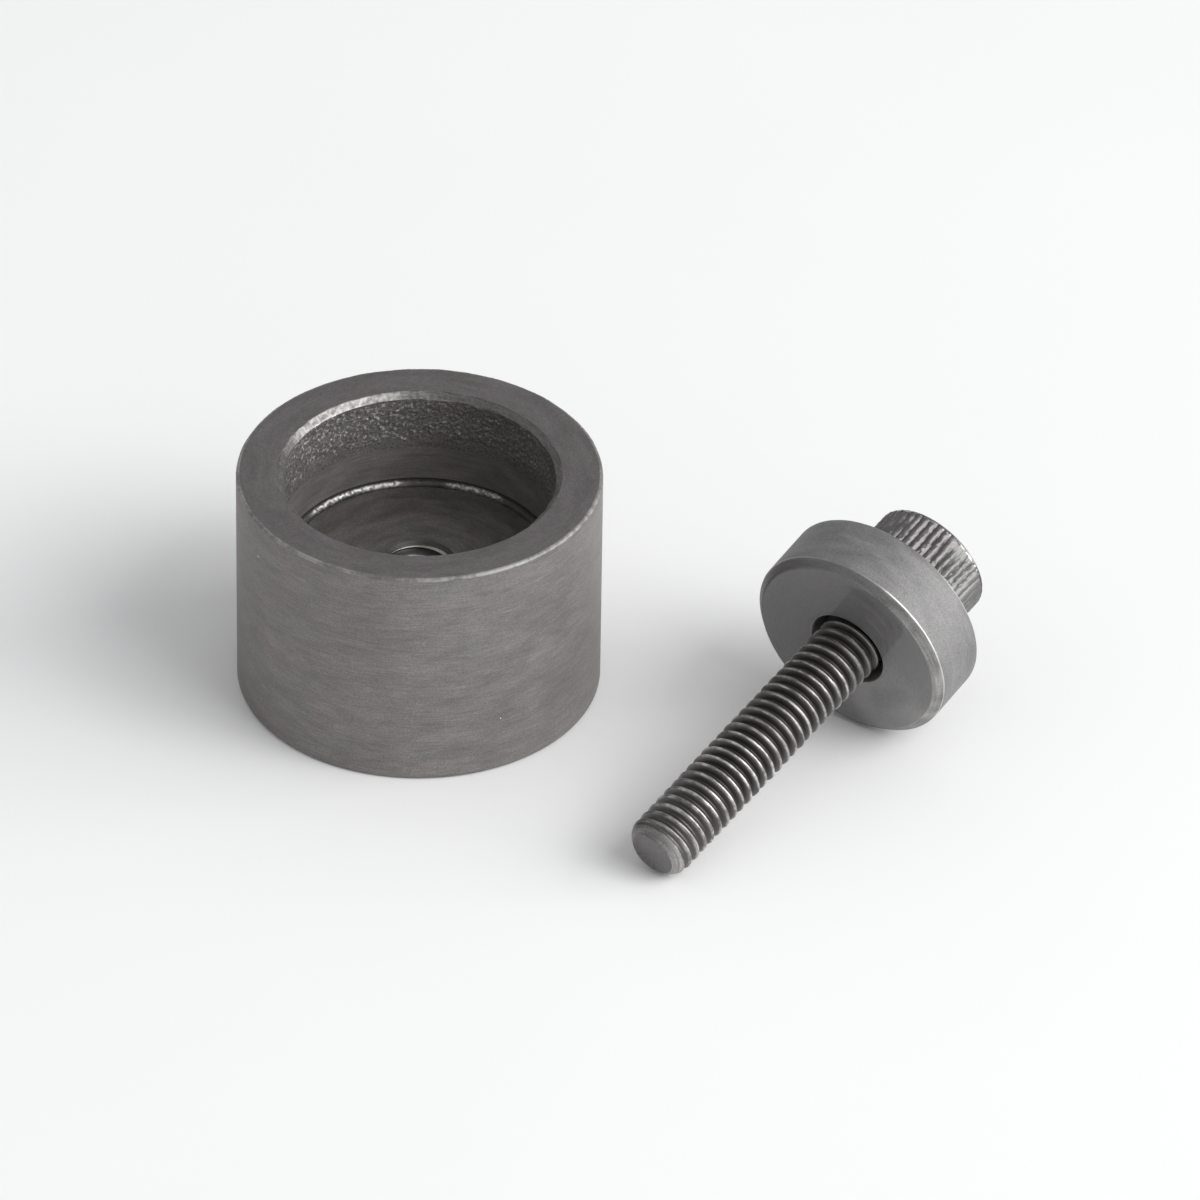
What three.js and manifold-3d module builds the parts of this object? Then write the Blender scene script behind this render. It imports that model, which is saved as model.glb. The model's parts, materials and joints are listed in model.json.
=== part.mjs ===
// Rivet setter: a die cup with a tapped floor, a pressing disc, and the M4 cap screw that draws the two
// together. Millimetres, +Z up. The cup stands on its base, and the screw lies beside it, resting on the
// disc's front edge and on its own tip.
import * as THREE from 'three';
import { mergeVertices } from 'three/addons/utils/BufferGeometryUtils.js';
import Module from 'manifold-3d';

const wasm = await Module();
wasm.setup();

// --- Driving dimensions, in millimetres ---

const PITCH = 0.7; // M4 coarse thread
const FLANK_ANGLE = THREE.MathUtils.degToRad(30); // each flank of a 60 degree thread
const WELD = 1e-5; // corners closer than this are one corner

const CUP = {
  radius: 10.4,
  height: 13.95,
  boreRadius: 7.75,
  boreDepth: 6.25,
  mouthChamfer: 0.35,
  rimBreak: 0.2,
  baseBreak: 0.3,
  cornerFillet: 0.4,
  holeMinorRadius: 1.65,
  holeMajorRadius: 2.05,
  holeCountersink: 0.45,
  sides: 72,
};

const DISC = {
  radius: 6.25,
  thickness: 3.95,
  frontChamfer: 0.45,
  backBreak: 0.12,
  holeRadius: 2.4,
  holeBreak: 0.07,
  sides: 64,
};

const SCREW = {
  length: 22.4, // under the head
  crestRadius: 1.98,
  tipCrestRadius: 1.93, // the crests are worn lower towards the tip
  rootRadius: 1.57,
  tipRadius: 1.35, // flat end
  tipChamfer: 0.62, // length of the cone behind the flat end
  neck: 0.5, // plain length under the head, where the thread runs out
  sides: 20,
};

const HEAD = {
  radius: 3.62,
  height: 4,
  topBevel: 0.3,
  knurls: 44,
  knurlDepth: 0.14,
  socketWidth: 3, // across flats
  socketDepth: 2,
  socketChamfer: 0.2,
  sides: 44,
};

const HEAD_GAP = 0.33; // along the screw, from the disc's back to the underside of the head
const PIVOT_DEPTH = 0.83; // the two axes cross this far behind the disc's front face

// The screw and disc lie to the right of the cup, with the tip towards the front left. The disc hangs
// a few degrees askew on the screw, within the play of its hole.
const DISC_OFFSET = new THREE.Vector2(24.35, -5.5); // from the cup's axis to the disc's front face
const DISC_HEADING = THREE.MathUtils.degToRad(-124.1);
const DISC_DIP = THREE.MathUtils.degToRad(10.56);
const SCREW_HEADING = THREE.MathUtils.degToRad(-128);

// --- Closed meshes and solids ---

/** Joins a geometry's shared corners and drops the triangles that this leaves without area. */
function weld(geometry) {
  const bare = geometry.clone();
  bare.deleteAttribute('normal');
  bare.deleteAttribute('uv');
  const merged = mergeVertices(bare, WELD);
  const corners = merged.index.array;
  const kept = [];
  for (let i = 0; i < corners.length; i += 3) {
    const [a, b, c] = corners.slice(i, i + 3);
    if (a !== b && b !== c && c !== a) {
      kept.push(a, b, c);
    }
  }
  merged.setIndex(kept);
  return merged;
}

function toSolid(geometry) {
  const closed = weld(geometry);
  return new wasm.Manifold(
    new wasm.Mesh({
      numProp: 3,
      vertProperties: Float32Array.from(closed.attributes.position.array),
      triVerts: Uint32Array.from(closed.index.array),
    }),
  );
}

function toGeometry(solid) {
  const mesh = solid.getMesh();
  const geometry = new THREE.BufferGeometry();
  geometry.setAttribute('position', new THREE.BufferAttribute(mesh.vertProperties, 3));
  geometry.setIndex(new THREE.BufferAttribute(mesh.triVerts, 1));
  return geometry;
}

/** Turns a profile of [radius, height] points about the Z axis; it starts and ends on the axis. */
function turned(profile, sides) {
  const points = profile.map(([radius, height]) => new THREE.Vector2(radius, height));
  const geometry = new THREE.LatheGeometry(points, sides);
  geometry.rotateX(Math.PI / 2);
  return toSolid(geometry);
}

/** Points of a quarter round, from one angle to another about a centre, in [radius, height]. */
function quarterRound(centre, radius, fromDegrees, toDegrees, steps) {
  const points = [];
  for (let i = 0; i <= steps; i += 1) {
    const angle = THREE.MathUtils.degToRad(fromDegrees + ((toDegrees - fromDegrees) * i) / steps);
    points.push([centre[0] + radius * Math.cos(angle), centre[1] + radius * Math.sin(angle)]);
  }
  return points;
}

/**
 * A rod with one right-hand V thread, from a little below z = 0 to above z = length. Each row of
 * corners follows the helix, so that crests and roots are clean edges, and a fan closes each end.
 * The crests shrink evenly from their full radius at z = length to endRadius at z = 0.
 */
function threadedRod(crestRadius, endRadius, rootRadius, length, sides) {
  const flank = (crestRadius - rootRadius) * Math.tan(FLANK_ANGLE);
  const flat = PITCH / 2 - flank;
  const turn = [
    { rise: 0, onCrest: false },
    { rise: flat, onCrest: false },
    { rise: flat + flank, onCrest: true },
    { rise: 2 * flat + flank, onCrest: true },
  ];
  const crestAt = (z) => THREE.MathUtils.mapLinear(z, 0, length, endRadius, crestRadius);
  const turns = Math.ceil(length / PITCH) + 3;
  const lastRow = turns * turn.length;
  const rows = lastRow + 1;
  const positions = [];
  for (let side = 0; side < sides; side += 1) {
    const angle = (2 * Math.PI * side) / sides;
    for (let row = 0; row <= lastRow; row += 1) {
      const { rise, onCrest } = turn[row % turn.length];
      const z = PITCH * (Math.floor(row / turn.length) + side / sides - 2) + rise;
      const radius = onCrest ? crestAt(z) : rootRadius;
      positions.push(radius * Math.cos(angle), radius * Math.sin(angle), z);
    }
  }
  const corner = (side, row) => (side < sides ? side * rows + row : row + turn.length);
  const faces = [];
  for (let side = 0; side < sides; side += 1) {
    const top = side < sides - 1 ? lastRow : lastRow - turn.length;
    for (let row = 0; row < top; row += 1) {
      faces.push(corner(side, row), corner(side + 1, row), corner(side + 1, row + 1));
      faces.push(corner(side, row), corner(side + 1, row + 1), corner(side, row + 1));
    }
  }

  const lowEdge = [];
  const highEdge = [];
  for (let side = 0; side < sides; side += 1) {
    lowEdge.push(corner(side, 0));
    highEdge.push(corner(side, lastRow));
  }
  for (let step = turn.length; step > 0; step -= 1) {
    lowEdge.push(corner(0, step));
    highEdge.push(corner(sides - 1, lastRow - 1 - turn.length + step));
  }
  const lowCentre = positions.length / 3;
  positions.push(0, 0, -2 * PITCH);
  const highCentre = lowCentre + 1;
  positions.push(0, 0, positions[3 * corner(sides - 1, lastRow) + 2]);
  lowEdge.forEach((point, i) => faces.push(lowCentre, lowEdge[(i + 1) % lowEdge.length], point));
  highEdge.forEach((point, i) => faces.push(highCentre, point, highEdge[(i + 1) % highEdge.length]));

  const geometry = new THREE.BufferGeometry();
  geometry.setAttribute('position', new THREE.Float32BufferAttribute(positions, 3));
  geometry.setIndex(faces);
  return toSolid(geometry);
}

// --- The three pieces, each in its own frame ---

/** The cup stands on z = 0: a turned ring with a blind bore, and a tapped hole through its floor. */
function dieCup() {
  const { radius, height, boreRadius, boreDepth, mouthChamfer, rimBreak, baseBreak } = CUP;
  const floor = height - boreDepth;
  const blank = turned(
    [
      [0, 0],
      [radius - baseBreak, 0],
      [radius, baseBreak],
      [radius, height - rimBreak],
      [radius - rimBreak, height],
      [boreRadius + mouthChamfer, height],
      [boreRadius, height - mouthChamfer],
      ...quarterRound(
        [boreRadius - CUP.cornerFillet, floor + CUP.cornerFillet],
        CUP.cornerFillet,
        0,
        -90,
        4,
      ),
      [CUP.holeMajorRadius + CUP.holeCountersink / 2, floor],
      [CUP.holeMinorRadius, floor - CUP.holeCountersink],
      [0, floor - CUP.holeCountersink],
    ],
    CUP.sides,
  );
  const { holeMajorRadius, holeMinorRadius } = CUP;
  const tap = threadedRod(holeMajorRadius, holeMajorRadius, holeMinorRadius, floor, SCREW.sides);
  return blank.subtract(tap);
}

/** The disc's front, pressing face is on z = 0, and its back is above. */
function pressingDisc() {
  const { radius, thickness, frontChamfer, backBreak, holeRadius, holeBreak, sides } = DISC;
  return turned(
    [
      [holeRadius + holeBreak, 0],
      [radius - frontChamfer, 0],
      [radius, frontChamfer],
      [radius, thickness - backBreak],
      [radius - backBreak, thickness],
      [holeRadius + holeBreak, thickness],
      [holeRadius, thickness - holeBreak],
      [holeRadius, holeBreak],
      [holeRadius + holeBreak, 0],
    ],
    sides,
  );
}

/** The knurled head stands on z = 0, with its hexagon socket open upwards. */
function knurledHead() {
  const outline = new THREE.Shape();
  const points = [];
  for (let i = 0; i < 2 * HEAD.knurls; i += 1) {
    const angle = (Math.PI * i) / HEAD.knurls;
    const radius = HEAD.radius - (i % 2) * HEAD.knurlDepth;
    points.push(new THREE.Vector2(radius * Math.cos(angle), radius * Math.sin(angle)));
  }
  outline.setFromPoints(points);
  const knurled = toSolid(new THREE.ExtrudeGeometry(outline, { depth: HEAD.height, bevelEnabled: false }));
  const bevelled = turned(
    [
      [0, 0],
      [HEAD.radius + HEAD.topBevel, 0],
      [HEAD.radius + HEAD.topBevel, HEAD.height - 2 * HEAD.topBevel],
      [HEAD.radius - HEAD.topBevel, HEAD.height],
      [0, HEAD.height],
    ],
    HEAD.sides,
  );
  const hexRadius = HEAD.socketWidth / Math.sqrt(3);
  const floor = HEAD.height - HEAD.socketDepth;
  const hexagon = new THREE.CylinderGeometry(hexRadius, hexRadius, 2 * HEAD.socketDepth, 6);
  hexagon.rotateX(Math.PI / 2);
  hexagon.translate(0, 0, floor + HEAD.socketDepth);
  const leadIn = turned(
    [
      [0, HEAD.height - HEAD.socketChamfer],
      [hexRadius - HEAD.socketChamfer, HEAD.height - HEAD.socketChamfer],
      [hexRadius + HEAD.socketChamfer, HEAD.height + HEAD.socketChamfer],
      [0, HEAD.height + HEAD.socketChamfer],
    ],
    HEAD.sides,
  );
  return knurled.intersect(bevelled).subtract(toSolid(hexagon)).subtract(leadIn);
}

/** The screw points down from z = 0, the underside of its head, with the head above. */
function capScrew() {
  const { length, crestRadius, tipCrestRadius, rootRadius, tipRadius, tipChamfer, neck } = SCREW;
  const thread = threadedRod(crestRadius, tipCrestRadius, rootRadius, length, SCREW.sides);
  const coneSlope = (tipCrestRadius - tipRadius) / tipChamfer;
  const clear = crestRadius + tipChamfer; // well outside the crests
  const envelope = turned(
    [
      [0, -length],
      [tipRadius, -length],
      [clear, (clear - tipRadius) / coneSlope - length],
      [clear, 0],
      [0, 0],
    ],
    SCREW.sides,
  );
  const shank = turned(
    [
      [0, -neck],
      [rootRadius, -neck],
      [crestRadius, 0],
      [crestRadius, HEAD.height / 4],
      [0, HEAD.height / 4],
    ],
    SCREW.sides,
  );
  return thread.translate([0, 0, -length]).intersect(envelope).add(shank).add(knurledHead());
}

// --- Assembly ---

function piece(name, solid, color, roughness, metalness) {
  const material = new THREE.MeshStandardMaterial({ color, roughness, metalness });
  const mesh = new THREE.Mesh(toGeometry(solid), material);
  mesh.name = name;
  return mesh;
}

/** Lays a piece down with its front towards a heading and dipped; returns the way back along its axis. */
function lay(mesh, heading, dip) {
  mesh.rotation.set(0, dip - Math.PI / 2, heading, 'ZYX');
  return new THREE.Vector3(0, 0, 1).applyEuler(mesh.rotation);
}

const cup = piece('die_cup', dieCup(), 0x55504e, 0.5, 0.9);
const disc = piece('pressing_disc', pressingDisc(), 0x7a7775, 0.4, 0.95);
const screw = piece('cap_screw', capScrew(), 0x3a3736, 0.45, 0.9);

// The disc stands on the lowest point of its front edge.
const discAxis = lay(disc, DISC_HEADING, DISC_DIP);
const discHeight = DISC.radius * Math.cos(DISC_DIP) - DISC.frontChamfer * Math.sin(DISC_DIP);
disc.position.set(DISC_OFFSET.x, DISC_OFFSET.y, discHeight);

// The screw dips until the crest behind its chamfered tip touches the table.
const pivot = disc.position.clone().addScaledVector(discAxis, PIVOT_DEPTH);
const headReach = DISC.thickness - PIVOT_DEPTH + HEAD_GAP;
const tipReach = SCREW.length - headReach - SCREW.tipChamfer;
const tipSpan = Math.hypot(tipReach, SCREW.tipCrestRadius);
const screwDip = Math.asin(pivot.z / tipSpan) - Math.atan2(SCREW.tipCrestRadius, tipReach);
const screwAxis = lay(screw, SCREW_HEADING, screwDip);
screw.position.copy(pivot).addScaledVector(screwAxis, headReach);

const rivetSetter = new THREE.Group();
rivetSetter.add(cup, disc, screw);

// The origin is on the table, under the middle of the whole set.
rivetSetter.updateMatrixWorld(true);
const box = new THREE.Box3().setFromObject(rivetSetter, true);
const middle = box.getCenter(new THREE.Vector3());
rivetSetter.position.set(-middle.x, -middle.y, -box.min.z);

export default rivetSetter;
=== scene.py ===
"""Looks of the rivet setter: a die cup, a pressing disc and an M4 cap screw, on a pale floor.

Each piece is turned about its own axis. It is built in its own frame, in millimetres, with that axis
along Z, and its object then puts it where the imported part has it, in metres.
"""
import json
import math

import bmesh
import bpy
import numpy as np
from mathutils import Matrix, Vector, noise


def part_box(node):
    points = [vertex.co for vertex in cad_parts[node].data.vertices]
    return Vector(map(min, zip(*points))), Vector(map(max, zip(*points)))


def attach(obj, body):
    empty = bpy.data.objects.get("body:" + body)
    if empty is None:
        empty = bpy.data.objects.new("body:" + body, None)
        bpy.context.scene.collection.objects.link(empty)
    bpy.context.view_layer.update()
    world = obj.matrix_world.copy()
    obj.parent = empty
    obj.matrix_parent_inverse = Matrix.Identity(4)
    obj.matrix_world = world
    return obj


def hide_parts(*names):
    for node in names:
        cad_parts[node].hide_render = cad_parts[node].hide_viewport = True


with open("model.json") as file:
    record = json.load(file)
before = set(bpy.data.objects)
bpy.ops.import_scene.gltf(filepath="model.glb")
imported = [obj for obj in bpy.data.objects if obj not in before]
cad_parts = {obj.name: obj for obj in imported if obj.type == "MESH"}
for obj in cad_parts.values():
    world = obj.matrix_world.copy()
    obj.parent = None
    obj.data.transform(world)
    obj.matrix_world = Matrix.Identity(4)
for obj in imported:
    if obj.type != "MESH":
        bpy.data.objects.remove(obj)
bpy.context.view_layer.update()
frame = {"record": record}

MM = 0.001

# ---------------------------------------------------------------- dimensions, in millimetres

PITCH = 0.7
FLANK_ANGLE = math.radians(30)

BORE_RADIUS = 7.75
BORE_DEPTH = 6.25
MOUTH_CHAMFER = 0.35
RIM_BREAK = 0.2
BASE_BREAK = 0.3
CORNER_FILLET = 0.4
GRANULAR_DEPTH = 3.7  # the wall is granular down to here, and smooth below
HOLE_MINOR = 1.65
HOLE_MAJOR = 2.05
COUNTERSINK = 2.15  # radius at the floor, from where it narrows at 45 degrees
COUNTERSINK_BAND = 0.22  # width of its outer band, painted dark as shade, round the edge of the hole, painted bright as a highlight

DISC_RADIUS = 6.25
DISC_THICKNESS = 3.95
DISC_CHAMFER = 0.45
DISC_BREAK = 0.12
DISC_HOLE = 2.4
DISC_HOLE_BREAK = 0.07
CHAMFER_ROUNDING = 0.07  # of the two edges of the disc's chamfer

SCREW_LENGTH = 22.4
CREST = 1.98
TIP_CREST = 1.93
ROOT = 1.57
TIP_RADIUS = 1.35
TIP_CHAMFER = 0.62
TIP_SHOULDER = 1.4 * TIP_CHAMFER  # length of the worn, rounded shoulder
TIP_WEAR = 6.0  # the thread is worn lower over this length from the tip
THREAD_START = -0.14  # in turns
HEAD_RADIUS = 3.62
HEAD_HEIGHT = 4.0
HEAD_BEVEL = 0.3
FOOT_ROUND = 0.15
KNURLS = 44
KNURL_DEPTH = 0.2
SOCKET_WIDTH = 3.0
SOCKET_DEPTH = 2.0
SOCKET_CHAMFER = 0.2
CORE_STUB = 0.2  # how far the head's mesh reaches down inside the shank
SHANK_OVERLAP = 0.3  # how far the shank's mesh reaches up inside the head

CUP_COLUMNS = 900
DISC_COLUMNS = 512
HEAD_COLUMNS = KNURLS * 12
THREAD_COLUMNS = 144
THREAD_ROWS = 18  # in one turn
TAP_COLUMNS = 96
TAP_ROWS = 12

# Arcs, as (start, end) in degrees anticlockwise from each piece's own X. All but the head's plain arc mark
# painted light: highlights and glints on the sides that face the lamps, and a paler painted reflection on
# the disc's face; the mouth's arc also holds scrape marks.
MOUTH_SCRAPE_HIGHLIGHT = ((104, 150),)
GRAIN_BRIGHT = ((105, 150),)
CORNER_HIGHLIGHT = ((55, 77), (101, 142))
HEAD_PLAIN = ((84, 150),)
DISC_BRIGHT = ((45, 125),)
FACE_PALE = ((125, 200),)
TIP_BRIGHT = ((60, 140),)

# ---------------------------------------------------------------- camera and studio

CAMERA_ELEVATION = math.radians(35.945)
CAMERA_ROLL = math.radians(0.885)
CAMERA_DISTANCE = 693.3 * MM
CAMERA_AIM = Vector((10.322, 7.209, 0)) * MM  # where it looks, from the middle of the cup's base
LENS = 360  # focal length, in millimetres like the sensor's width
SENSOR_WIDTH = 36
SKY_STRENGTH = 0.51
FLOOR_REACH = 3.0  # metres to each side

# ---------------------------------------------------------------- places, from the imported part

UP = Vector((0, 0, 1))
MOUNTS = {m["name"]: m for m in frame["record"]["mounts"]}
FACE_MOUNT = (4.0, 0.0)  # the pressing face's mount: distance from the disc's axis, and height
HEAD_MOUNT = (2.6, HEAD_HEIGHT)  # the same for the head's mount, on the screw

cup_low, cup_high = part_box("die_cup")
CUP_PLACE = Vector(((cup_low.x + cup_high.x) / 2, (cup_low.y + cup_high.y) / 2, cup_low.z))
CUP_RADIUS = (cup_high.x - cup_low.x) / 2 / MM
CUP_HEIGHT = (cup_high.z - cup_low.z) / MM


def lying(mount, facing, spot):
    """The frame of a lying piece, from one of its mounts: Z towards the head, X on its upper side.

    facing is 1 where the mount faces along Z and -1 where it faces back, and spot is the mount's place
    on the piece, as (distance from the axis, height).
    """
    along = Vector(MOUNTS[mount]["axis"]).normalized() * facing
    upper = (UP - along * UP.dot(along)).normalized()
    origin = Vector(MOUNTS[mount]["pos_m"]) - upper * spot[0] * MM - along * spot[1] * MM
    turn = Matrix((upper, along.cross(upper), along)).transposed().to_4x4()
    return Matrix.Translation(origin) @ turn


# ---------------------------------------------------------------- camera, light and floor

def add_camera():
    """A long lens, about 36 degrees above the table."""
    aim = CUP_PLACE + CAMERA_AIM
    away = Vector((0, -math.cos(CAMERA_ELEVATION), math.sin(CAMERA_ELEVATION)))
    data = bpy.data.cameras.new("camera")
    data.lens = LENS
    data.sensor_width = SENSOR_WIDTH
    data.clip_start = 0.01
    data.clip_end = 20
    camera = bpy.data.objects.new("camera", data)
    camera.matrix_world = (
        Matrix.Translation(aim + away * CAMERA_DISTANCE)
        @ away.to_track_quat("Z", "Y").to_matrix().to_4x4()
        @ Matrix.Rotation(CAMERA_ROLL, 4, "Z")
    )
    bpy.context.scene.collection.objects.link(camera)
    bpy.context.scene.camera = camera


def add_light(name, direction, distance, size, brightness):
    """A square softbox that faces the middle of the set. Its surface is equally bright at any size."""
    data = bpy.data.lights.new(name, "AREA")
    data.shape = "SQUARE"
    data.size = size
    data.energy = brightness * math.pi * size * size
    light = bpy.data.objects.new(name, data)
    toward = Vector(direction).normalized()
    turn = toward.to_track_quat("Z", "Y").to_matrix().to_4x4()
    light.matrix_world = Matrix.Translation(toward * distance) @ turn
    bpy.context.scene.collection.objects.link(light)


def add_studio():
    """A pale sky, two softboxes on the right, and a plain pale floor."""
    scene = bpy.context.scene
    scene.view_settings.view_transform = "Standard"
    world = bpy.data.worlds.new("studio")
    world.use_nodes = True
    background = world.node_tree.nodes["Background"]
    background.inputs["Color"].default_value = (0.98, 0.99, 1.0, 1)
    background.inputs["Strength"].default_value = SKY_STRENGTH
    scene.world = world
    add_light("side", direction=(0.95, -0.1, 0.32), distance=1.0, size=0.9, brightness=3.3)
    add_light("key", direction=(0.6, -0.38, 0.7), distance=0.9, size=0.55, brightness=4.0)

    mesh = bpy.data.meshes.new("floor")
    sides = ((-1, -1), (1, -1), (1, 1), (-1, 1))
    corners = [(x * FLOOR_REACH, y * FLOOR_REACH, 0) for x, y in sides]
    mesh.from_pydata(corners, [], [(0, 1, 2, 3)])
    floor = bpy.data.objects.new("floor", mesh)
    scene.collection.objects.link(floor)
    shader = Shader("floor_paint")
    paper = shader.noise(shader.millimetres(), 0.02, 3)
    shader.surface["Base Color"] = shader.ramp(paper, (0.93, 0.93, 0.93), (0.95, 0.95, 0.95))
    shader.set("Roughness", 0.8)
    mesh.materials.append(shader.finish())


# ---------------------------------------------------------------- materials

class Shader:
    """A material under construction. Texture coordinates are the piece's own, in millimetres."""

    def __init__(self, name):
        self.material = bpy.data.materials.new(name)
        self.material.use_nodes = True
        self.tree = self.material.node_tree
        self.principled = self.tree.nodes["Principled BSDF"]
        self.surface = {}

    def add(self, kind, inputs=(), output=0, **settings):
        """Adds a node, sets or links its inputs by name or number, and returns one of its outputs."""
        node = self.tree.nodes.new(kind)
        for key, value in settings.items():
            setattr(node, key, value)
        for key, value in dict(inputs).items():
            self.feed(node.inputs[key], value)
        return node.outputs[output]

    def feed(self, socket, value):
        if isinstance(value, bpy.types.NodeSocket):
            self.tree.links.new(value, socket)
        elif isinstance(value, (tuple, list)) and len(value) == 3 and socket.type == "RGBA":
            socket.default_value = (*value, 1)
        else:
            socket.default_value = value

    def set(self, name, value):
        self.principled.inputs[name].default_value = value

    def math(self, operation, a, b=0.0, clamp=False):
        return self.add("ShaderNodeMath", {0: a, 1: b}, operation=operation, use_clamp=clamp)

    def millimetres(self):
        place = self.add("ShaderNodeTexCoord", output="Object")
        return self.add("ShaderNodeVectorMath", {0: place, 3: 1 / MM}, operation="SCALE")

    def stretched(self, vector, x, y, z):
        return self.add("ShaderNodeVectorMath", {0: vector, 1: (x, y, z)}, operation="MULTIPLY")

    def rings(self, vector, along, across_rings):
        """Coordinates for concentric marks: slow along each ring, quick from one ring to the next."""
        flat = self.stretched(vector, 1, 1, 0)
        radius = self.add("ShaderNodeVectorMath", {0: flat}, output="Value", operation="LENGTH")
        parts = self.add("ShaderNodeSeparateXYZ", {0: vector}).node
        return self.add(
            "ShaderNodeCombineXYZ",
            {
                0: self.math("MULTIPLY", parts.outputs[0], along),
                1: self.math("MULTIPLY", parts.outputs[1], along),
                2: self.math("MULTIPLY", radius, across_rings),
            },
        )

    def noise(self, vector, scale, detail=3.0, rough=0.5, distortion=0.0):
        inputs = {"Vector": vector, "Scale": scale, "Detail": detail}
        inputs.update({"Roughness": rough, "Distortion": distortion})
        return self.add("ShaderNodeTexNoise", inputs, output="Fac")

    def ramp(self, factor, low, high, start=0.3, end=0.7):
        """A colour between low and high, as factor goes from start to end."""
        node = self.add("ShaderNodeValToRGB", {0: factor}).node
        node.color_ramp.elements[0].position = start
        node.color_ramp.elements[1].position = end
        node.color_ramp.elements[0].color = (*low, 1)
        node.color_ramp.elements[1].color = (*high, 1)
        return node.outputs["Color"]

    def span(self, factor, low, high, start=0.3, end=0.7):
        """A number between low and high, as factor goes from start to end."""
        inputs = {"Value": factor, "From Min": start, "From Max": end, "To Min": low, "To Max": high}
        return self.add("ShaderNodeMapRange", inputs)

    def mix(self, factor, a, b, blend="MIX"):
        node = self.add("ShaderNodeMix", data_type="RGBA", blend_type=blend).node
        self.feed(node.inputs[0], factor)
        self.feed(node.inputs[6], a)
        self.feed(node.inputs[7], b)
        return node.outputs[2]

    def attribute(self, name):
        return self.add("ShaderNodeAttribute", output="Fac", attribute_name=name)

    def bump(self, height_mm):
        """Turns a height in millimetres into a normal."""
        inputs = {"Height": height_mm, "Distance": MM, "Strength": 1.0}
        return self.add("ShaderNodeBump", inputs, output="Normal")

    def finish(self):
        for name, value in self.surface.items():
            self.feed(self.principled.inputs[name], value)
        return self.material


def specks(shader, vector, spacing, size, share):
    """Sparse round points: 1 inside a speck, 0 elsewhere."""
    cells = shader.add("ShaderNodeTexVoronoi", {"Vector": vector, "Scale": 1 / spacing}).node
    near = shader.math("LESS_THAN", cells.outputs["Distance"], size / spacing)
    shade = shader.add("ShaderNodeSeparateColor", {0: cells.outputs["Color"]})
    chosen = shader.math("GREATER_THAN", shade, 1 - share)
    return shader.math("MULTIPLY", near, chosen)


def steel(
    name,
    tones,
    rough,
    marks="height",
    lines=(0.1, 0.003),
    grain=(0.08, 0.003),
    contrast=(0.2, 0.14),
    tint=0.02,
    speck_share=0.0,
    rubbed_and_lit=None,
    groove=None,
    metallic=1.0,
    coat=0.0,
):
    """A machined steel surface.

    tones: the darker and the lighter colour that slow mottling mixes.
    rough: the lowest and highest roughness.
    marks: "height" for marks that circle the piece level by level, "radius" for rings on a flat face.
    lines, grain: (size, depth) of the tool marks and of the fine grain, in millimetres.
    contrast: how far the tool marks and the grain lighten and darken the colour.
    tint: how far the colour drifts between purplish and greenish.
    speck_share: the share of small cells that hold a bright speck.
    rubbed_and_lit: the colour of rubbed steel and of painted highlights, shown where the mesh's
    "wear_and_highlight" value is high.
    groove: the colour where the mesh's "sunk" value is high.
    metallic: 1 for clean steel, and less where a dull skin also scatters light.
    coat: the strength of a thin smooth film of oil.
    """
    shader = Shader(name)
    place = shader.millimetres()
    size, depth = lines
    if marks == "radius":
        tracks = shader.rings(place, 0.3 / size, 1 / size)
        slow = shader.rings(place, 0.35, 1.2)
    else:
        tracks = shader.stretched(place, 0.055 / size, 0.055 / size, 1 / size)
        slow = shader.stretched(place, 0.35, 0.35, 1.1)
    fine = shader.noise(tracks, 1.0, 4.0, 0.65)
    cloud = shader.noise(slow, 1.0, 4.0, 0.6, 0.4)
    tooth = shader.noise(place, 1 / grain[0], 2.0, 0.6)
    blotch = shader.noise(place, 0.45, 3.0, 0.55)

    colour = shader.ramp(cloud, tones[0], tones[1])
    purplish, greenish = (1 + tint, 1 - tint, 1), (1 - tint, 1, 1 - tint)
    colour = shader.mix(1.0, colour, shader.ramp(blotch, purplish, greenish, 0.4, 0.6), "MULTIPLY")
    streak = shader.span(fine, 1 - contrast[0], 1 + contrast[0])
    pepper = shader.span(tooth, 1 - contrast[1], 1 + contrast[1])
    colour = shader.mix(1.0, colour, shader.math("MULTIPLY", streak, pepper), "MULTIPLY")
    roughness = shader.span(shader.math("ADD", cloud, fine), rough[0], rough[1], 0.8, 1.25)
    if speck_share:
        dots = specks(shader, place, 0.6, 0.05, speck_share)
        colour = shader.mix(dots, colour, (0.85, 0.84, 0.82))
    if groove:
        colour = shader.mix(shader.attribute("sunk"), colour, groove)
    if rubbed_and_lit:
        patchy = shader.math("ADD", shader.span(fine, -0.35, 0.35), shader.span(tooth, -0.2, 0.2))
        wear_and_highlight = shader.attribute("wear_and_highlight")
        shown = shader.math("MULTIPLY", wear_and_highlight, shader.math("ADD", wear_and_highlight, patchy), clamp=True)
        colour = shader.mix(shown, colour, rubbed_and_lit)

    height = shader.math("MULTIPLY", fine, depth)
    height = shader.math("ADD", height, shader.math("MULTIPLY", tooth, grain[1]))
    shader.set("Metallic", metallic)
    shader.set("Coat Weight", coat)
    shader.set("Coat Roughness", 0.06)
    shader.surface["Base Color"] = colour
    shader.surface["Roughness"] = roughness
    shader.surface["Normal"] = shader.bump(height)
    return shader.finish()


# ---------------------------------------------------------------- turned meshes

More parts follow.
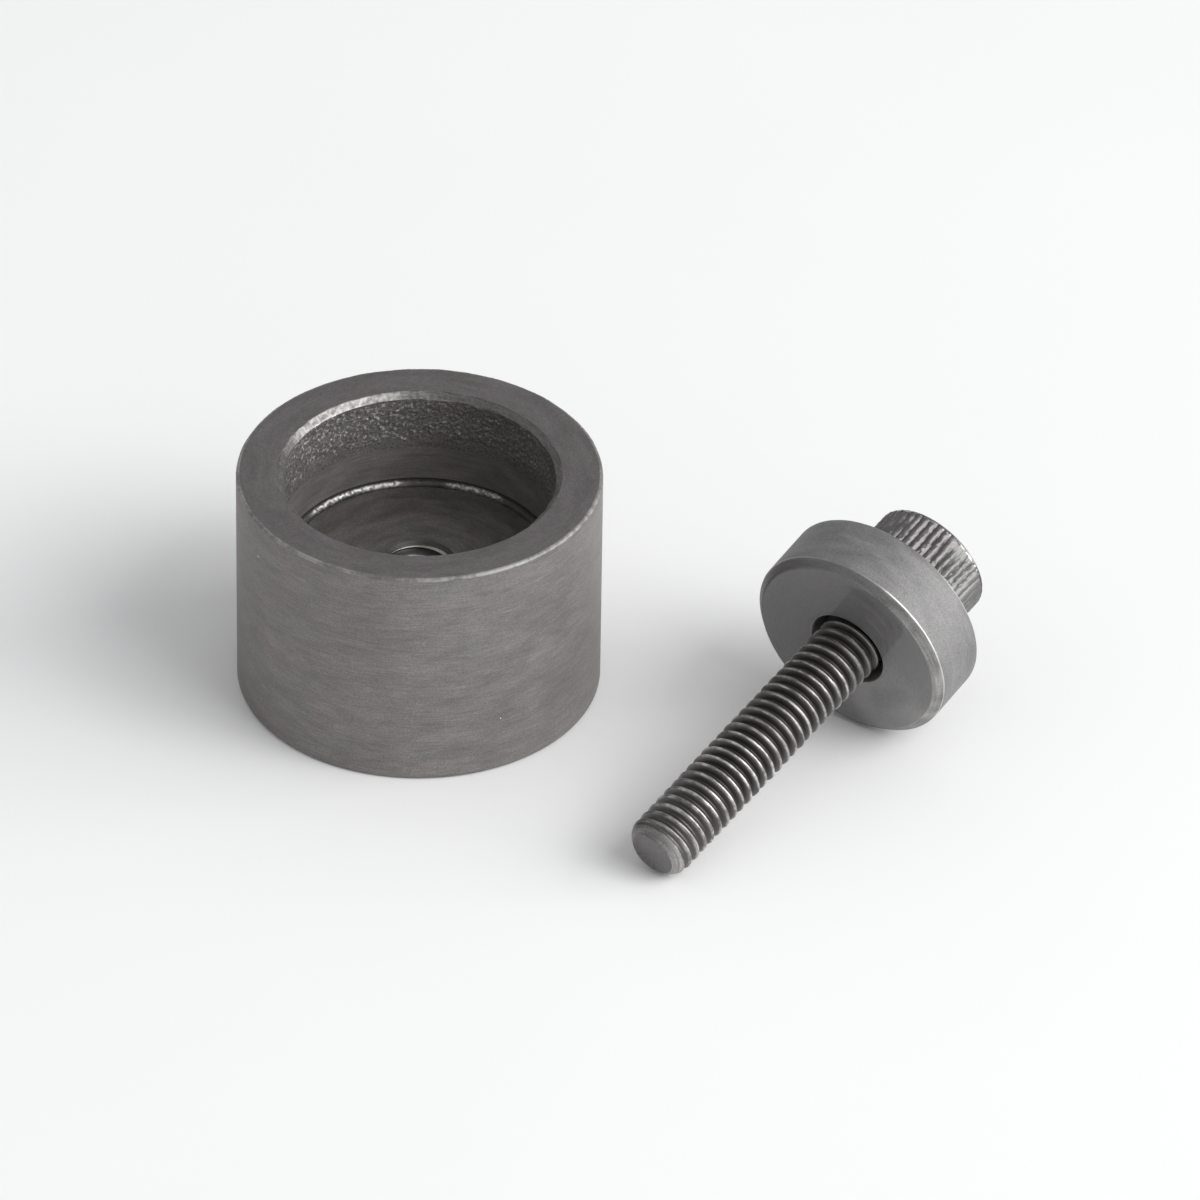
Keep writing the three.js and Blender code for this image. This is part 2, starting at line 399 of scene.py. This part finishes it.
class Outline:
    """A turned profile, as (radius, height) points in millimetres. Each point names its surface."""

    def __init__(self, radius, height, surface):
        self.points = [(radius, height, surface)]

    def line(self, radius, height, steps, surface):
        start = np.array(self.points[-1][:2])
        for share in np.linspace(0, 1, steps + 1)[1:]:
            point = start + (np.array((radius, height)) - start) * share
            self.points.append((*point, surface))

    def arc(self, centre, radius, start, end, steps, surface):
        """A round from one angle to another, in degrees, anticlockwise from straight outwards."""
        for degrees in np.linspace(start, end, steps + 1):
            angle = math.radians(degrees)
            point = (centre[0] + radius * math.cos(angle), centre[1] + radius * math.sin(angle), surface)
            if math.dist(point[:2], self.points[-1][:2]) > 1e-6:
                self.points.append(point)


def outward(radii, heights, closed):
    """Outward directions in the profile's plane, for a profile whose solid lies on its left."""
    def neighbours(values, offset):
        if closed:
            return np.roll(values, -offset)
        return values[np.clip(np.arange(len(values)) + offset, 0, len(values) - 1)]

    along_r = neighbours(radii, 1) - neighbours(radii, -1)
    along_z = neighbours(heights, 1) - neighbours(heights, -1)
    length = np.maximum(np.hypot(along_r, along_z), 1e-9)
    return along_z / length, -along_r / length


def turned_mesh(outline, columns, shape, closed=False):
    """Turns an outline about Z.

    shape(surface, x, y, z) gives each point's lift off the profile, and how strongly it shows rubbed steel
    and painted highlights.
    Returns the mesh and its surfaces' names, in the order of its material indices.
    """
    surfaces = [p[2] for p in outline.points]
    radii = np.array([p[0] for p in outline.points])
    heights = np.array([p[1] for p in outline.points])
    out_r, out_z = outward(radii, heights, closed)
    angles = np.linspace(0, 2 * math.pi, columns, endpoint=False)
    cosines, sines = np.cos(angles), np.sin(angles)

    mesh = bmesh.new()
    wear_and_highlight = mesh.verts.layers.float.new("wear_and_highlight")
    rings = []
    for i, surface in enumerate(surfaces):
        if radii[i] < 1e-6:
            rings.append([mesh.verts.new((0, 0, heights[i]))] * columns)
            continue
        ring = []
        for c, s in zip(cosines, sines):
            lift, rubbed_and_lit = shape(surface, radii[i] * c, radii[i] * s, heights[i])
            r = radii[i] + out_r[i] * lift
            vert = mesh.verts.new((r * c, r * s, heights[i] + out_z[i] * lift))
            vert[wear_and_highlight] = rubbed_and_lit
            ring.append(vert)
        rings.append(ring)
    names = sorted(set(surfaces), key=surfaces.index)
    for i in range(len(rings) if closed else len(rings) - 1):
        low, high = rings[i], rings[(i + 1) % len(rings)]
        index = names.index(surfaces[(i + 1) % len(rings)])
        for k in range(columns):
            corners = (low[k], low[(k + 1) % columns], high[(k + 1) % columns], high[k])
            face = mesh.faces.new(list(dict.fromkeys(corners)))
            face.material_index = index
            face.smooth = True
    return mesh, names


def threaded_mesh(crest, end_crest, root, length, columns, rows, shape, start=0.0):
    """A closed rod with a right-hand thread, from below z = -length to above z = 0.

    Its rows of points follow the helix, so many to a turn, and start so far into a turn. For each point,
    shape(radius, x, y, z, share) gives its final radius, how strongly it shows rubbed steel and painted
    highlights, and how far it is blackened, where share is 0 in the root and 1 on the crest.
    """
    turns = math.ceil(length / PITCH) + 3
    flank = (crest - root) * math.tan(FLANK_ANGLE)
    flat = PITCH / 2 - flank
    knots = np.cumsum([0, flat, flank, flat, flank])
    form = np.interp(np.arange(rows) / rows * PITCH, knots, [0, 0, 1, 1, 0])
    soft = form / 2 + (np.roll(form, 1) + np.roll(form, -1)) / 4

    mesh = bmesh.new()
    wear_and_highlight = mesh.verts.layers.float.new("wear_and_highlight")
    sunk = mesh.verts.layers.float.new("sunk")
    grid = []
    for column in range(columns):
        angle = 2 * math.pi * column / columns
        line = []
        for row in range(turns * rows + 1):
            z = PITCH * (row / rows + column / columns - 1.5 - start) - length
            share = soft[row % rows]
            top = np.interp(z, (-length, 0), (end_crest, crest))
            radius = root + (top - root) * share
            x, y = radius * math.cos(angle), radius * math.sin(angle)
            radius, rubbed_and_lit, dark = shape(radius, x, y, z, share)
            vert = mesh.verts.new((radius * math.cos(angle), radius * math.sin(angle), z))
            vert[wear_and_highlight] = rubbed_and_lit
            vert[sunk] = dark
            line.append(vert)
        grid.append(line)

    for column, here in enumerate(grid):
        after = grid[column + 1] if column < columns - 1 else grid[0][rows:]
        for row in range(min(len(here), len(after)) - 1):
            face = mesh.faces.new((here[row], after[row], after[row + 1], here[row + 1]))
            face.smooth = True
    ends = [e for e in mesh.edges if e.is_boundary]
    for side in (-1, 1):
        fan_cap(mesh, [e for e in ends if side * (e.verts[0].co.z + length / 2) > 0])
    return mesh


def fan_cap(mesh, edges, height=None):
    """Closes an open end with triangles round one middle point, facing away from the piece."""
    points = {v for e in edges for v in e.verts}
    if height is None:
        height = sum(v.co.z for v in points) / len(points)
    middle = mesh.verts.new((0, 0, height))
    faces = []
    for edge in edges:
        loop = edge.link_loops[0]
        faces.append(mesh.faces.new((loop.link_loop_next.vert, loop.vert, middle)))
    return faces


def cut_at(mesh, height, side):
    """Cuts a closed mesh at a level, keeps what is above (1) or below (-1), and closes it flat."""
    bmesh.ops.bisect_plane(
        mesh,
        geom=mesh.verts[:] + mesh.edges[:] + mesh.faces[:],
        plane_co=(0, 0, height),
        plane_no=(0, 0, side),
        clear_inner=True,
    )
    return fan_cap(mesh, [e for e in mesh.edges if e.is_boundary], height)


def to_object(name, mesh, materials, place):
    """Makes an object of a mesh, in metres and in its place."""
    bmesh.ops.scale(mesh, vec=(MM, MM, MM), verts=mesh.verts)
    data = bpy.data.meshes.new(name)
    mesh.to_mesh(data)
    mesh.free()
    for material in materials:
        data.materials.append(material)
    piece = bpy.data.objects.new(name, data)
    piece.matrix_world = place
    bpy.context.scene.collection.objects.link(piece)
    return piece


def combine(piece, tool, operation):
    """Joins ("UNION") or cuts ("DIFFERENCE") one closed piece with another, and removes the other."""
    change = piece.modifiers.new("combine", "BOOLEAN")
    change.operation = operation
    change.solver = "MANIFOLD"
    change.object = tool
    bpy.context.view_layer.update()
    result = bpy.data.meshes.new_from_object(piece.evaluated_get(bpy.context.evaluated_depsgraph_get()))
    piece.modifiers.clear()
    piece.data = result
    bpy.data.objects.remove(tool)


def hand_over(piece, body, node, sharp_degrees):
    """Finishes a piece's shading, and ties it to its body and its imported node."""
    piece.data.set_sharp_from_angle(angle=math.radians(sharp_degrees))
    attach(piece, body)
    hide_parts(node)


def unit(value):
    """A number held between 0 and 1."""
    return min(1.0, max(0.0, value))


def within(x, y, arcs, soft):
    """How far a direction lies inside any of some arcs: 1 inside, fading to 0 over `soft` degrees."""
    degrees = math.degrees(math.atan2(y, x)) % 360
    depth = max(min(degrees - start, end - degrees) for start, end in arcs)
    return unit(depth / soft + 1)


# ---------------------------------------------------------------- the die cup

def cup_shape(surface, x, y, z):
    """Unevenness of the cup: a granular wall with painted glints, a mouth with scrape marks and a painted
    highlight, a corner with a painted highlight line, and uneven broken edges.
    """
    point = Vector((x, y, z))
    if surface == "granular_wall":
        # the grain fades in below the mouth, and out along a ragged line above the smooth wall
        depth = CUP_HEIGHT - z
        left = GRANULAR_DEPTH - depth
        ragged = left - 0.7 * abs(noise.noise(point * 0.8)) - 0.2 * noise.noise(point * 2.5)
        fade = min(1, (depth - MOUTH_CHAMFER) / 0.2) * min(1, left / 0.15, max(0, ragged / 0.7))
        grain = 0.05 * noise.noise(point * 4.5) + 0.04 * noise.noise(point * 9)
        # pale specks of painted glint, painted more strongly on the arc that faces the lamps
        sparkle = 3.2 * noise.noise(point * 5.3) + 2.2 * noise.noise(point * 11) - 1.5
        sparkle += 1.1 * within(x, y, GRAIN_BRIGHT, 40)
        return fade * grain, unit(sparkle) * fade
    if surface == "mouth":
        streaks = noise.noise(Vector((x, y, 3 * z)) * 2) + 0.8 * noise.noise(point * 6)
        # scrape marks all round, painted brighter as a highlight on the arc where the lamps glance off the
        # mouth
        scrape_and_highlight = 0.15 + within(x, y, MOUTH_SCRAPE_HIGHLIGHT, 12) * (0.7 + 0.9 * streaks)
        return 0.05 * noise.noise(point * 1.1) + 0.02 * noise.noise(point * 4), scrape_and_highlight
    if surface == "rim_edge":
        chipped = 0.65 + 0.7 * noise.noise(point * 0.6) + 0.6 * noise.noise(point * 4)
        return 0.03 * noise.noise(point * 0.7) + 0.012 * noise.noise(point * 5), chipped
    if surface == "corner":
        # a painted highlight line along the middle of the fillet, on the arcs where the lamp's reflection
        # falls
        level = (z - CUP_HEIGHT + BORE_DEPTH) / CORNER_FILLET
        middle = max(0.0, 1 - abs(level - 0.35) / 0.45)
        scrape_and_highlight = within(x, y, CORNER_HIGHLIGHT, 6) * middle * (1.0 + 1.1 * noise.noise(point * 6))
        return 0.01 * noise.noise(point * 3) + 0.006 * noise.noise(point * 9), scrape_and_highlight
    return 0.0, 0.0


def tap_shape(radius, x, y, z, share):
    """The tapped hole's cutter. Its roots cut the hole's crests, which carry painted highlight lines."""
    return radius, 0.8 * max(0.0, 1 - 4 * share), 0.0


def die_cup():
    """The turned cup, with its tapped hole cut through the floor."""
    floor = CUP_HEIGHT - BORE_DEPTH
    corner = (BORE_RADIUS - CORNER_FILLET, floor + CORNER_FILLET)
    outline = Outline(0, 0, "base")
    outline.line(CUP_RADIUS - BASE_BREAK, 0, 3, "base")
    outline.arc((CUP_RADIUS - BASE_BREAK, BASE_BREAK), BASE_BREAK, -90, 0, 5, "side")
    outline.line(CUP_RADIUS, CUP_HEIGHT - RIM_BREAK, 10, "side")
    outline.arc((CUP_RADIUS - RIM_BREAK, CUP_HEIGHT - RIM_BREAK), RIM_BREAK, 0, 90, 6, "rim_edge")
    outline.line(BORE_RADIUS + MOUTH_CHAMFER, CUP_HEIGHT, 4, "rim")
    outline.line(BORE_RADIUS, CUP_HEIGHT - MOUTH_CHAMFER, 8, "mouth")
    outline.line(BORE_RADIUS, CUP_HEIGHT - GRANULAR_DEPTH, 60, "granular_wall")
    outline.line(BORE_RADIUS, corner[1], 6, "smooth_wall")
    outline.arc(corner, CORNER_FILLET, 0, -90, 14, "corner")
    outline.line(COUNTERSINK, floor, 8, "floor")
    outline.line(COUNTERSINK - COUNTERSINK_BAND, floor - COUNTERSINK_BAND, 3, "countersink")
    outline.line(0, floor - COUNTERSINK, 8, "hole_edge")
    mesh, names = turned_mesh(outline, CUP_COLUMNS, cup_shape)

    dark = (0.12, 0.113, 0.109)
    light = (0.165, 0.157, 0.15)
    looks = {
        "base": steel("cup_base", (dark, light), (0.4, 0.5), "radius"),
        "side": steel("cup_side", ((0.157, 0.147, 0.144), (0.221, 0.208, 0.204)), (0.5, 0.6),
                      lines=(0.065, 0.003), grain=(0.07, 0.004), contrast=(0.22, 0.26),
                      speck_share=0.03, metallic=0.2),
        "rim_edge": steel("cup_rim_edge", ((0.17, 0.163, 0.16), (0.23, 0.22, 0.216)), (0.56, 0.64),
                          rubbed_and_lit=(0.34, 0.33, 0.32), metallic=0.6),
        "rim": steel("cup_rim", ((0.195, 0.186, 0.183), (0.242, 0.233, 0.23)), (0.5, 0.62), "radius",
                     contrast=(0.12, 0.14), speck_share=0.006),
        # the mouth's pale colour is for its scrape marks and its painted highlight
        "mouth": steel("cup_mouth", ((0.15, 0.144, 0.141), (0.22, 0.211, 0.207)), (0.5, 0.6),
                       lines=(0.05, 0.003), contrast=(0.3, 0.2), rubbed_and_lit=(0.37, 0.36, 0.35)),
        # the wall's pale colour is for its painted glints
        "granular_wall": steel("cup_granular_wall", ((0.185, 0.176, 0.17), (0.25, 0.24, 0.231)), (0.4, 0.5),
                               grain=(0.1, 0.02), contrast=(0.1, 0.4), rubbed_and_lit=(0.62, 0.6, 0.58), metallic=0.6),
        "smooth_wall": steel("cup_smooth_wall", ((0.165, 0.156, 0.15), (0.225, 0.214, 0.205)), (0.45, 0.55),
                             lines=(0.12, 0.004), grain=(0.1, 0.006), metallic=0.4),
        # the corner's tones are painted dark as shade, and its pale colour is a painted highlight line
        "corner": steel("cup_corner", ((0.07, 0.066, 0.063), (0.11, 0.104, 0.1)), (0.5, 0.6),
                        grain=(0.1, 0.008), rubbed_and_lit=(0.55, 0.54, 0.52)),
        "floor": steel("cup_floor", ((0.13, 0.123, 0.118), (0.2, 0.19, 0.182)), (0.5, 0.6), "radius",
                       lines=(0.14, 0.003), contrast=(0.14, 0.2), metallic=0.8),
        # the countersink is painted dark as shade
        "countersink": steel("cup_countersink", ((0.06, 0.056, 0.054), (0.1, 0.094, 0.09)), (0.5, 0.6),
                             metallic=0.6),
        # the hole's edge is painted pale as a highlight
        "hole_edge": steel("cup_hole_edge", ((0.2, 0.19, 0.18), (0.5, 0.49, 0.47)), (0.4, 0.5),
                           metallic=0.6),
        # the tapped hole is painted dark as shade, and its pale colour is for painted highlight lines on its
        # crests
        "tapped_hole": steel("cup_tapped_hole", ((0.05, 0.047, 0.046), (0.08, 0.076, 0.073)), (0.4, 0.5),
                             rubbed_and_lit=(0.8, 0.79, 0.77)),
    }
    place = Matrix.Translation(CUP_PLACE)
    names.append("tapped_hole")
    piece = to_object("die_cup_body", mesh, [looks[n] for n in names], place)
    tap = threaded_mesh(HOLE_MAJOR, HOLE_MAJOR, HOLE_MINOR, floor, TAP_COLUMNS, TAP_ROWS, tap_shape)
    tap_place = Matrix.Translation(CUP_PLACE + UP * (floor + PITCH) * MM)
    cutter = to_object("tap", tap, [looks["tapped_hole"]], tap_place)
    combine(piece, cutter, "DIFFERENCE")
    hand_over(piece, "cup", "die_cup", sharp_degrees=35)


# ---------------------------------------------------------------- the pressing disc

def disc_shape(surface, x, y, z):
    """Slightly uneven edges, with a painted highlight on the side that faces the lamps, and a paler painted
    reflection on part of the face.
    """
    point = Vector((x, y, z))
    # painted highlight, on the arc that faces the lamps
    bright = within(x, y, DISC_BRIGHT, 40) * (1 + 0.8 * noise.noise(point * 1.2))
    if surface in ("side_edge", "back_edge"):
        return 0.008 * noise.noise(point * 2), 0.15 + 0.8 * bright
    if surface in ("face_edge", "front_chamfer"):
        return 0.0, 0.1 + 0.4 * bright
    # the paler part of the face is a painted reflection
    if surface == "face":
        return 0.0, within(x, y, FACE_PALE, 60) * (0.8 + noise.noise(point * 0.5))
    return 0.0, 0.0


def pressing_disc():
    """The ground disc, with its front face at z = 0."""
    radius, hole, soft = DISC_RADIUS, DISC_HOLE, CHAMFER_ROUNDING
    outline = Outline(hole + DISC_HOLE_BREAK, 0, "face")
    outline.line(radius - DISC_CHAMFER - soft, 0, 8, "face")
    outline.line(radius - DISC_CHAMFER + soft * 0.4, soft * 0.4, 2, "face_edge")
    outline.line(radius - soft * 0.4, DISC_CHAMFER - soft * 0.4, 4, "front_chamfer")
    outline.line(radius, DISC_CHAMFER + soft, 2, "side_edge")
    outline.line(radius, DISC_THICKNESS - DISC_BREAK, 8, "side")
    outline.arc((radius - DISC_BREAK, DISC_THICKNESS - DISC_BREAK), DISC_BREAK, 0, 90, 4, "back_edge")
    outline.line(hole + DISC_HOLE_BREAK, DISC_THICKNESS, 6, "back")
    back_round = (hole + DISC_HOLE_BREAK, DISC_THICKNESS - DISC_HOLE_BREAK)
    outline.arc(back_round, DISC_HOLE_BREAK, 90, 180, 3, "hole")
    outline.line(hole, DISC_HOLE_BREAK, 6, "hole")
    outline.arc((hole + DISC_HOLE_BREAK, DISC_HOLE_BREAK), DISC_HOLE_BREAK, 180, 260, 3, "hole")
    mesh, names = turned_mesh(outline, DISC_COLUMNS, disc_shape, closed=True)

    ground = ((0.29, 0.283, 0.28), (0.36, 0.353, 0.348))
    # pale colour for lightly rubbed edges, and for the painted highlight on the side that faces the lamps
    bright = (0.62, 0.61, 0.6)
    chamfer = steel("disc_chamfer", ((0.18, 0.176, 0.174), (0.23, 0.226, 0.224)), (0.42, 0.5),
                    contrast=(0.1, 0.12), tint=0.006, rubbed_and_lit=bright)
    looks = {
        # the face's paler colour is a painted reflection
        "face": steel("disc_face", ((0.16, 0.156, 0.156), (0.187, 0.182, 0.181)), (0.5, 0.6), "radius",
                      lines=(0.12, 0.0006), grain=(0.09, 0.0005), contrast=(0.1, 0.08), tint=0.01,
                      rubbed_and_lit=(0.26, 0.254, 0.25), metallic=0.5, coat=0.7),
        "face_edge": chamfer,
        "side_edge": steel("disc_side_edge", ground, (0.38, 0.46), contrast=(0.1, 0.1), rubbed_and_lit=bright),
        "front_chamfer": chamfer,
        "side": steel("disc_side", ((0.18, 0.177, 0.176), (0.265, 0.261, 0.259)), (0.55, 0.65),
                      lines=(0.12, 0.002), grain=(0.07, 0.006), contrast=(0.08, 0.26), tint=0.006,
                      speck_share=0.03, metallic=0.5),
        "back_edge": steel("disc_back_edge", ground, (0.35, 0.45), rubbed_and_lit=bright),
        "back": steel("disc_back", ground, (0.4, 0.5), "radius", contrast=(0.1, 0.1)),
        "hole": steel("disc_hole", ((0.3, 0.288, 0.28), (0.4, 0.385, 0.375)), (0.45, 0.55), metallic=0.3),
    }
    place = lying("pressing_face", -1, FACE_MOUNT)
    piece = to_object("pressing_disc_body", mesh, [looks[n] for n in names], place)
    hand_over(piece, "disc", "pressing_disc", sharp_degrees=35)


# ---------------------------------------------------------------- the cap screw

def tip_limit(z):
    """The largest radius that the rounded, chamfered point allows."""
    up = unit((z + SCREW_LENGTH) / TIP_SHOULDER)
    return TIP_RADIUS + (TIP_CREST - TIP_RADIUS) * (1 - (1 - up) ** 1.8) ** 0.85 + 2 * max(0.0, up - 0.99)


def thread_shape(radius, x, y, z, share):
    """The tip's round shoulder with a painted highlight on the side that faces the lamps, small dents, and a
    thread that wears more and more towards the tip.
    """
    point = Vector((x, y, z))
    limit = tip_limit(z)
    from_tip = z + SCREW_LENGTH
    near_tip = unit(1 - from_tip / TIP_WEAR)
    run_out = unit(1.25 - from_tip / 0.8)
    uneven = noise.noise(point * 1.7) + 0.6 * noise.noise(point * 5)
    # the roots fill up a little towards the tip, and wholly where the thread runs out at its end
    radius += (1 - share) * max(0.12 * near_tip, (TIP_CREST - ROOT) * run_out)
    black = min(1.0, 1.3 * (1 - share)) * (1 - 0.6 * near_tip) * (1 - run_out)
    if radius > limit:
        # the shoulder is painted brighter as a highlight on the arc that faces the lamps
        return limit, 0.3 + 0.3 * within(x, y, TIP_BRIGHT, 50) + 0.08 * uneven, black
    # only the crests are dented and worn bright, and the worn band is wider near the tip
    dents = 0.02 * max(0.0, noise.noise(point * 0.9)) + 0.014 * max(0.0, noise.noise(point * 4))
    crest = unit((share - 0.72 + 0.3 * near_tip) * 4) * (1 - 0.45 * near_tip)
    return radius - share * dents + 0.004 * noise.noise(point * 7), crest * (0.75 + 0.7 * uneven), black


def head_shape(surface, x, y, z):
    """Straight knurling, irregular and crushed in places, that fades out at the rounded top edge."""
    if surface not in ("knurl", "bevel", "foot"):
        return 0.0, 0.0
    point = Vector((x, y, z))
    # ridge is 0 in a groove and 1 on a crest, and the grooves wander a little as they rise
    drift = 0.25 * noise.noise(Vector((x, y, z * 0.3)) * 0.9) + 0.06 * noise.noise(point * 2.6)
    phase = (math.atan2(y, x) * KNURLS / (2 * math.pi) + drift) % 1.0
    ridge = max(0.0, math.sin(math.pi * phase)) ** 0.8
    crushed = max(0.0, noise.noise(point * 1.6) + 0.6 * noise.noise(point * 5)) * (1.5 - z / HEAD_HEIGHT)
    plain = within(x, y, HEAD_PLAIN, 12)
    # the knurl fades towards the top, over the plain arc, and inwards under the head
    fade = unit((HEAD_HEIGHT - z) / 0.7) * (1 - 0.6 * plain)
    fade *= unit((math.hypot(x, y) - HEAD_RADIUS) / 0.4 + 1)
    depth = KNURL_DEPTH * min(1.0, 0.85 + 0.7 * noise.noise(point * 1.3))
    lift = fade * (depth * (ridge - 1) - 0.12 * ridge * crushed + 0.035 * noise.noise(point * 6))
    if surface == "foot":
        return lift, 0.3
    # rubbed steel on the knurl's crests, with painted glints in specks, and a painted sheen evenly along the
    # top edge
    glint = 1.5 * noise.noise(point * 2.1) + 3.2 * noise.noise(point * 7)
    speckled = 0.66 + 1.1 * (ridge - 0.65) + glint
    # an even painted sheen along the top edge
    even = 0.45 + 0.25 * noise.noise(point * 1.5) + 0.1 * noise.noise(point * 5)
    near_top = unit((z - HEAD_HEIGHT) / HEAD_BEVEL + 1.6)
    rubbed_and_lit = speckled * (1 - near_top) + even * near_top
    return lift, min(1.0, max(rubbed_and_lit * (1 - 0.75 * plain), 0.12 * plain))


def cap_screw():
    """The head, with its hexagon socket cut out, joined to the threaded shank."""
    hex_corner = SOCKET_WIDTH / math.sqrt(3)
    outline = Outline(0, -CORE_STUB, "core")
    outline.line(ROOT, -CORE_STUB, 1, "core")
    outline.line(ROOT + 0.1, 0, 1, "core")
    outline.line(HEAD_RADIUS - FOOT_ROUND, 0, 6, "foot")
    outline.arc((HEAD_RADIUS - FOOT_ROUND, FOOT_ROUND), FOOT_ROUND, -90, 0, 4, "foot")
    outline.line(HEAD_RADIUS, HEAD_HEIGHT - HEAD_BEVEL, 40, "knurl")
    outline.arc((HEAD_RADIUS - HEAD_BEVEL, HEAD_HEIGHT - HEAD_BEVEL), HEAD_BEVEL, 0, 90, 6, "bevel")
    outline.line(hex_corner + SOCKET_CHAMFER, HEAD_HEIGHT, 5, "top")
    outline.line(0, HEAD_HEIGHT - hex_corner - SOCKET_CHAMFER, 6, "socket")
    mesh, names = turned_mesh(outline, HEAD_COLUMNS, head_shape)

    black = (0.03, 0.027, 0.026)
    brown = (0.06, 0.055, 0.054)
    # its pale colour is for rubbed crests, painted glints, and the painted sheen at the top edge
    knurled = steel("screw_knurl", (black, brown), (0.34, 0.44), grain=(0.1, 0.012),
                    rubbed_and_lit=(0.88, 0.87, 0.86), metallic=0.75)
    plain = steel("screw_plain", ((0.165, 0.16, 0.159), (0.225, 0.22, 0.218)), (0.45, 0.55), "radius",
                  contrast=(0.1, 0.1))
    # its pale colour is for rubbed crests, and for the painted highlight on the tip's shoulder
    thread = steel("screw_thread", ((0.14, 0.134, 0.132), (0.21, 0.203, 0.2)), (0.42, 0.5),
                   lines=(0.12, 0.002), grain=(0.07, 0.004), contrast=(0.2, 0.25),
                   rubbed_and_lit=(0.7, 0.69, 0.68), groove=(0.068, 0.06, 0.058))
    looks = {"core": thread, "top": plain, "socket": plain}
    looks.update(dict.fromkeys(("foot", "knurl", "bevel"), knurled))
    place = lying("head_face", 1, HEAD_MOUNT)
    piece = to_object("cap_screw_body", mesh, [looks[n] for n in names], place)

    key = bmesh.new()
    bmesh.ops.create_cone(
        key, cap_ends=True, segments=6, radius1=hex_corner, radius2=hex_corner, depth=2 * SOCKET_DEPTH
    )
    cutter = to_object("key", key, [plain], place @ Matrix.Translation((0, 0, HEAD_HEIGHT * MM)))
    combine(piece, cutter, "DIFFERENCE")

    rod = threaded_mesh(
        CREST, TIP_CREST, ROOT, SCREW_LENGTH, THREAD_COLUMNS, THREAD_ROWS, thread_shape, THREAD_START
    )
    for face in cut_at(rod, -SCREW_LENGTH, 1):
        face.material_index = 1  # the tip's flat end is plain
    cut_at(rod, SHANK_OVERLAP, -1)
    shank = to_object("shank", rod, [thread, plain], place)
    combine(piece, shank, "UNION")
    hand_over(piece, "screw", "cap_screw", sharp_degrees=40)


# ---------------------------------------------------------------- the scene

add_camera()
add_studio()
die_cup()
pressing_disc()
cap_screw()
